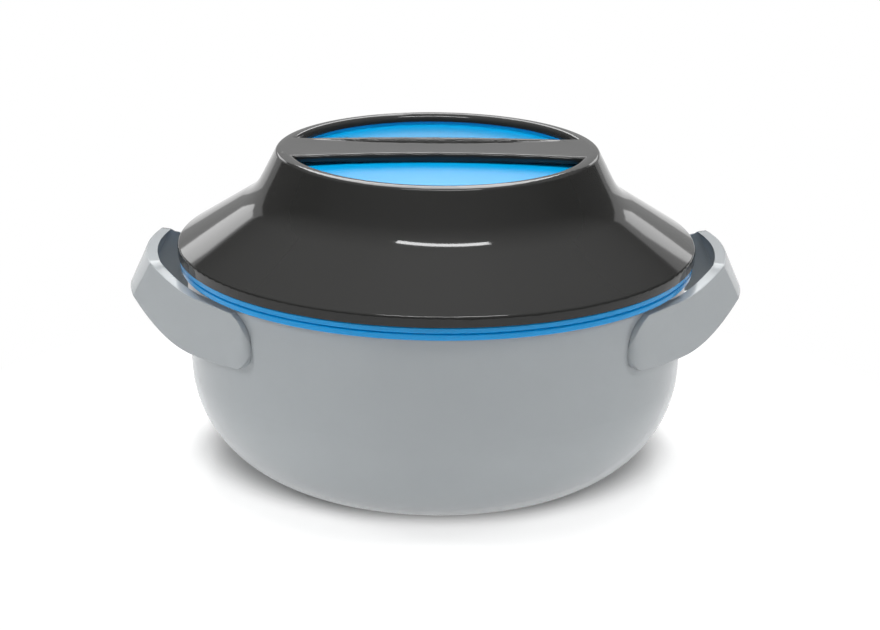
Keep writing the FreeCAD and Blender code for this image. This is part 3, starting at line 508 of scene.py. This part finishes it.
# a painted shadow: the painted glow is left out of an oval about a centre behind the pot, with the
# distances in metres between which the glow sets in, and the distances between which the floor
# turns into plain white
PAINTED_SHADOW_CENTRE = (0.0, 0.0415, 0.0)
PAINTED_SHADOW_OVAL = (0.93, 1.0, 1.0)
LIFT_SETS_IN = (0.092, 0.122)
WHITE_SETS_IN = (0.14, 0.28)

# the room: its level on matt faces, and what gloss shows, by the height of the direction: a wall
# behind the table with its paint, and a ceiling that brightens from the room's shade
DOME_LEVEL = 0.28
ROOM_SHADE = 0.15
CEILING_LEVEL = 1.15
CEILING_HEIGHTS = (0.4, 0.99)
WALL_SIDE_EDGE = (0.76, 0.775)
WALL_TOP_EDGE = (0.41, 0.40)
WALL_PAINT = (0.6, 1.0)


def soft_lamp(name, place, size, power, in_gloss, on_matt):
    """A rectangular softbox turned to the pot."""
    data = bpy.data.lights.new(name, "AREA")
    data.shape = "RECTANGLE"
    data.size, data.size_y = size
    data.energy = power
    lamp = bpy.data.objects.new(name, data)
    bpy.context.scene.collection.objects.link(lamp)
    lamp.location = place
    away = Vector(place) - Vector(LAMPS_LOOK_AT)
    lamp.rotation_euler = away.to_track_quat("Z", "Y").to_euler()
    lamp.visible_glossy = in_gloss
    lamp.visible_diffuse = on_matt
    lamp.visible_camera = False


def stand_camera():
    """The camera on its stand, looking a little down on the pot."""
    camera = bpy.data.cameras.new("camera")
    camera.sensor_width = SENSOR_WIDTH
    camera.lens = SENSOR_WIDTH * FOCAL_PIXELS / PICTURE_WIDTH
    camera.shift_x = (PICTURE_WIDTH / 2 - AXIS_PIXEL) / PICTURE_WIDTH
    camera.clip_start = 0.05
    camera.clip_end = 60.0
    eye = bpy.data.objects.new("camera", camera)
    bpy.context.scene.collection.objects.link(eye)
    round_object = Matrix.Rotation(CAMERA_AZIMUTH, 4, "Z")
    back = Matrix.Translation((0.0, -CAMERA_BACK, CAMERA_HEIGHT))
    tilt = Matrix.Rotation(math.pi / 2 - CAMERA_PITCH, 4, "X")
    roll = Matrix.Rotation(CAMERA_ROLL, 4, "Z")
    eye.matrix_world = round_object @ back @ tilt @ roll
    bpy.context.scene.camera = eye


def seen_ray(tree):
    """1 for a ray that shows the background: straight, in a gloss or through glass."""
    path = add(tree, "ShaderNodeLightPath")
    mirror = add(tree, "ShaderNodeMath",
                 {0: path.outputs["Is Camera Ray"], 1: path.outputs["Is Glossy Ray"]},
                 operation="MAXIMUM")
    return add(tree, "ShaderNodeMath",
               {0: mirror.outputs["Value"], 1: path.outputs["Is Transmission Ray"]},
               operation="MAXIMUM").outputs["Value"]


def studio_paper():
    """Matt paper that glows white where looked at, save in a painted oval shadow behind the pot.
    """
    # painted shadow: pale grey, dimmed where seen and whitened by painted glow outside an oval
    # behind the pot; the pot's own soft shadow darkens it too
    material, tree, output = new_material("studio_paper")
    place = own_place(tree)
    fibre = noise(tree, place, FIBRES_PER_METRE, 3.0)
    bump = add(tree, "ShaderNodeBump", {"Height": fibre, "Distance": FIBRE_HEIGHT})
    seen = seen_ray(tree)
    tint = bpy.context.scene.casserole_colours.floor
    # painted shade: where the paper is looked at, it shows only a share of its colour
    shade = blend(tree, seen, shaded(tint), shaded(tint, PAINTED_SHADE_SHARE))
    paper = add(tree, "ShaderNodeBsdfDiffuse", {"Color": shade, "Normal": bump.outputs["Normal"]})
    run = add(tree, "ShaderNodeVectorMath", {0: place}, operation="LENGTH")
    oval = add(tree, "ShaderNodeVectorMath", {0: place, 1: PAINTED_SHADOW_OVAL}, operation="MULTIPLY")
    behind = add(tree, "ShaderNodeVectorMath", {0: oval.outputs["Vector"], 1: PAINTED_SHADOW_CENTRE},
                 operation="DISTANCE")
    # painted light: a glow that whitens the looked-at paper outside the painted oval shadow
    painted_glow_outside_oval = add(tree, "ShaderNodeMapRange",
                     {"Value": behind.outputs["Value"], "From Min": LIFT_SETS_IN[0],
                      "From Max": LIFT_SETS_IN[1], "To Min": 0.0, "To Max": PAINTED_FLOOR_GLOW},
                     interpolation_type="SMOOTHSTEP")
    lift = add(tree, "ShaderNodeMath", {0: seen, 1: painted_glow_outside_oval.outputs["Result"]},
               operation="MULTIPLY")
    glow = add(tree, "ShaderNodeEmission", {"Strength": lift.outputs["Value"]})
    near = add(tree, "ShaderNodeAddShader",
               {0: paper.outputs["BSDF"], 1: glow.outputs["Emission"]})
    far = add(tree, "ShaderNodeMapRange",
              {"Value": run.outputs["Value"], "From Min": WHITE_SETS_IN[0],
               "From Max": WHITE_SETS_IN[1]})
    sweep = add(tree, "ShaderNodeMath", {0: far.outputs["Result"], 1: seen}, operation="MULTIPLY")
    white = add(tree, "ShaderNodeEmission", {"Strength": 1.0})
    both = add(tree, "ShaderNodeMixShader",
               {0: sweep.outputs["Value"], 1: near.outputs["Shader"],
                2: white.outputs["Emission"]})
    tree.links.new(both.outputs["Shader"], output.inputs["Surface"])
    return material


def studio_floor():
    """A wide round of paper under the pot."""
    shape = bmesh.new()
    bmesh.ops.create_circle(shape, cap_ends=True, segments=FLOOR_CORNERS, radius=FLOOR_RADIUS)
    mesh = bpy.data.meshes.new("studio_floor")
    shape.to_mesh(mesh)
    shape.free()
    floor = bpy.data.objects.new("studio_floor", mesh)
    bpy.context.scene.collection.objects.link(floor)
    mesh.materials.append(studio_paper())


def studio_room():
    """A dark room under a pale ceiling, with a white wall behind the table."""
    world = bpy.data.worlds.new("studio_room")
    world.use_nodes = True
    tree = world.node_tree
    tree.nodes.clear()
    out = add(tree, "ShaderNodeOutputWorld")
    way = add(tree, "ShaderNodeTexCoord").outputs["Generated"]
    parts = add(tree, "ShaderNodeSeparateXYZ", {"Vector": way})
    height = parts.outputs["Z"]
    level = add(tree, "ShaderNodeCombineXYZ", {"X": parts.outputs["X"], "Y": parts.outputs["Y"]})
    run = add(tree, "ShaderNodeVectorMath", {0: level.outputs["Vector"]}, operation="LENGTH")
    rear = add(tree, "ShaderNodeMath", {0: parts.outputs["Y"], 1: run.outputs["Value"]},
               operation="DIVIDE")
    side_edge = add(tree, "ShaderNodeMapRange",
                    {"Value": rear.outputs["Value"], "From Min": WALL_SIDE_EDGE[0],
                     "From Max": WALL_SIDE_EDGE[1]})
    top_edge = add(tree, "ShaderNodeMapRange",
                   {"Value": height, "From Min": WALL_TOP_EDGE[0], "From Max": WALL_TOP_EDGE[1]})
    wall = add(tree, "ShaderNodeMath",
               {0: side_edge.outputs["Result"], 1: top_edge.outputs["Result"]},
               operation="MULTIPLY")
    ceiling = add(tree, "ShaderNodeMapRange",
                  {"Value": height, "From Min": CEILING_HEIGHTS[0], "From Max": CEILING_HEIGHTS[1],
                   "To Min": ROOM_SHADE, "To Max": CEILING_LEVEL})
    paint = add(tree, "ShaderNodeMapRange",
                {"Value": height, "From Min": 0.0, "From Max": CEILING_HEIGHTS[0],
                 "To Min": WALL_PAINT[0], "To Max": WALL_PAINT[1]})
    view = add(tree, "ShaderNodeMix",
               {"Factor": wall.outputs["Value"], "A": ceiling.outputs["Result"],
                "B": paint.outputs["Result"]})
    shown = add(tree, "ShaderNodeBackground", {"Strength": view.outputs["Result"]})
    light = add(tree, "ShaderNodeBackground", {"Strength": DOME_LEVEL})
    both = add(tree, "ShaderNodeMixShader",
               {0: seen_ray(tree), 1: light.outputs["Background"], 2: shown.outputs["Background"]})
    tree.links.new(both.outputs["Shader"], out.inputs["Surface"])
    return world


# ------------------------------------------------------------------- operators

class CASSEROLE_OT_pot(bpy.types.Operator):
    """Finish the pot: shell, base cover, handles, collar, steel and foam"""
    bl_idname = "casserole.pot"
    bl_label = "Pot"

    def execute(self, context):
        grey = moulded_grey_polypropylene()
        for name in ("outer_shell", "base_cover", "right_handle", "left_handle"):
            finish_node(name, grey)
        for name, turn in (("right_handle", 0.0), ("left_handle", math.pi)):
            add_piece(name + "_band", handle_band(turn), "pot", name, grey)
        # the collar's tint is the dish's plastic painted darker: painted shade under the lid's
        # skirt
        finish_node("rim_ring", moulded_blue_polypropylene(
            "moulded_blue_polypropylene", context.scene.casserole_colours.blue))
        steel = spun_stainless_steel()
        for name in ("inner_bowl", "inner_lid", "right_handle_screws", "left_handle_screws"):
            finish_node(name, steel)
        foam = poured_polyurethane_foam()
        finish_node("body_foam", foam)
        finish_node("lid_foam", foam)
        white = moulded_white_polypropylene()
        finish_node("fill_plug", white)
        finish_node("lid_ring", white)
        finish_node("lid_seal", moulded_silicone())
        return {"FINISHED"}


class CASSEROLE_OT_lid(bpy.types.Operator):
    """Finish the lid: shell and dish"""
    bl_idname = "casserole.lid"
    bl_label = "Lid"

    def execute(self, context):
        charcoal = moulded_charcoal_abs()
        finish_node("lid_shell", charcoal)
        add_piece("crowned_lid", crown_with_soft_land(), "lid", "lid_shell",
                  charcoal, plain=SHOULDER_HEIGHTS)
        # the dish's tint is the collar's plastic painted lighter: painted light on the lid's top
        blue = moulded_blue_polypropylene("moulded_lit_dish_blue_polypropylene",
                                          context.scene.casserole_colours.dish)
        finish_node("recess_dish", blue)
        add_piece("dish_insert", turned(DISH_PROFILE), "lid", "recess_dish", blue)
        return {"FINISHED"}


class CASSEROLE_OT_stage(bpy.types.Operator):
    """Set the pale floor, the soft lights, the room and the camera"""
    bl_idname = "casserole.stage"
    bl_label = "Stage"

    def execute(self, context):
        context.scene.view_settings.view_transform = "Standard"
        studio_floor()
        context.scene.world = studio_room()
        for lamp in LAMPS:
            soft_lamp(*lamp)
        stand_camera()
        return {"FINISHED"}


class CASSEROLE_PT_panel(bpy.types.Panel):
    """Sizes, colours and steps of the casserole"""
    bl_idname = "CASSEROLE_PT_panel"
    bl_label = "Casserole"
    bl_space_type = "VIEW_3D"
    bl_region_type = "UI"
    bl_category = "Casserole"

    def draw(self, context):
        for group in (context.scene.casserole_sizes, context.scene.casserole_colours):
            for name in group.bl_rna.properties.keys():
                if name not in ("rna_type", "name"):
                    self.layout.prop(group, name)
        for step in STEPS:
            self.layout.operator(step.bl_idname)


STEPS = (CASSEROLE_OT_pot, CASSEROLE_OT_lid, CASSEROLE_OT_stage)
CLASSES = (CasseroleColours, CasseroleSizes) + STEPS + (CASSEROLE_PT_panel,)


def register():
    for item in CLASSES:
        bpy.utils.register_class(item)
    bpy.types.Scene.casserole_colours = PointerProperty(type=CasseroleColours)
    bpy.types.Scene.casserole_sizes = PointerProperty(type=CasseroleSizes)


def unregister():
    del bpy.types.Scene.casserole_sizes
    del bpy.types.Scene.casserole_colours
    for item in reversed(CLASSES):
        bpy.utils.unregister_class(item)


def main():
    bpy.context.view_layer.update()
    register()
    bpy.ops.casserole.pot()
    bpy.ops.casserole.lid()
    bpy.ops.casserole.stage()


if __name__ == "__main__":
    main()
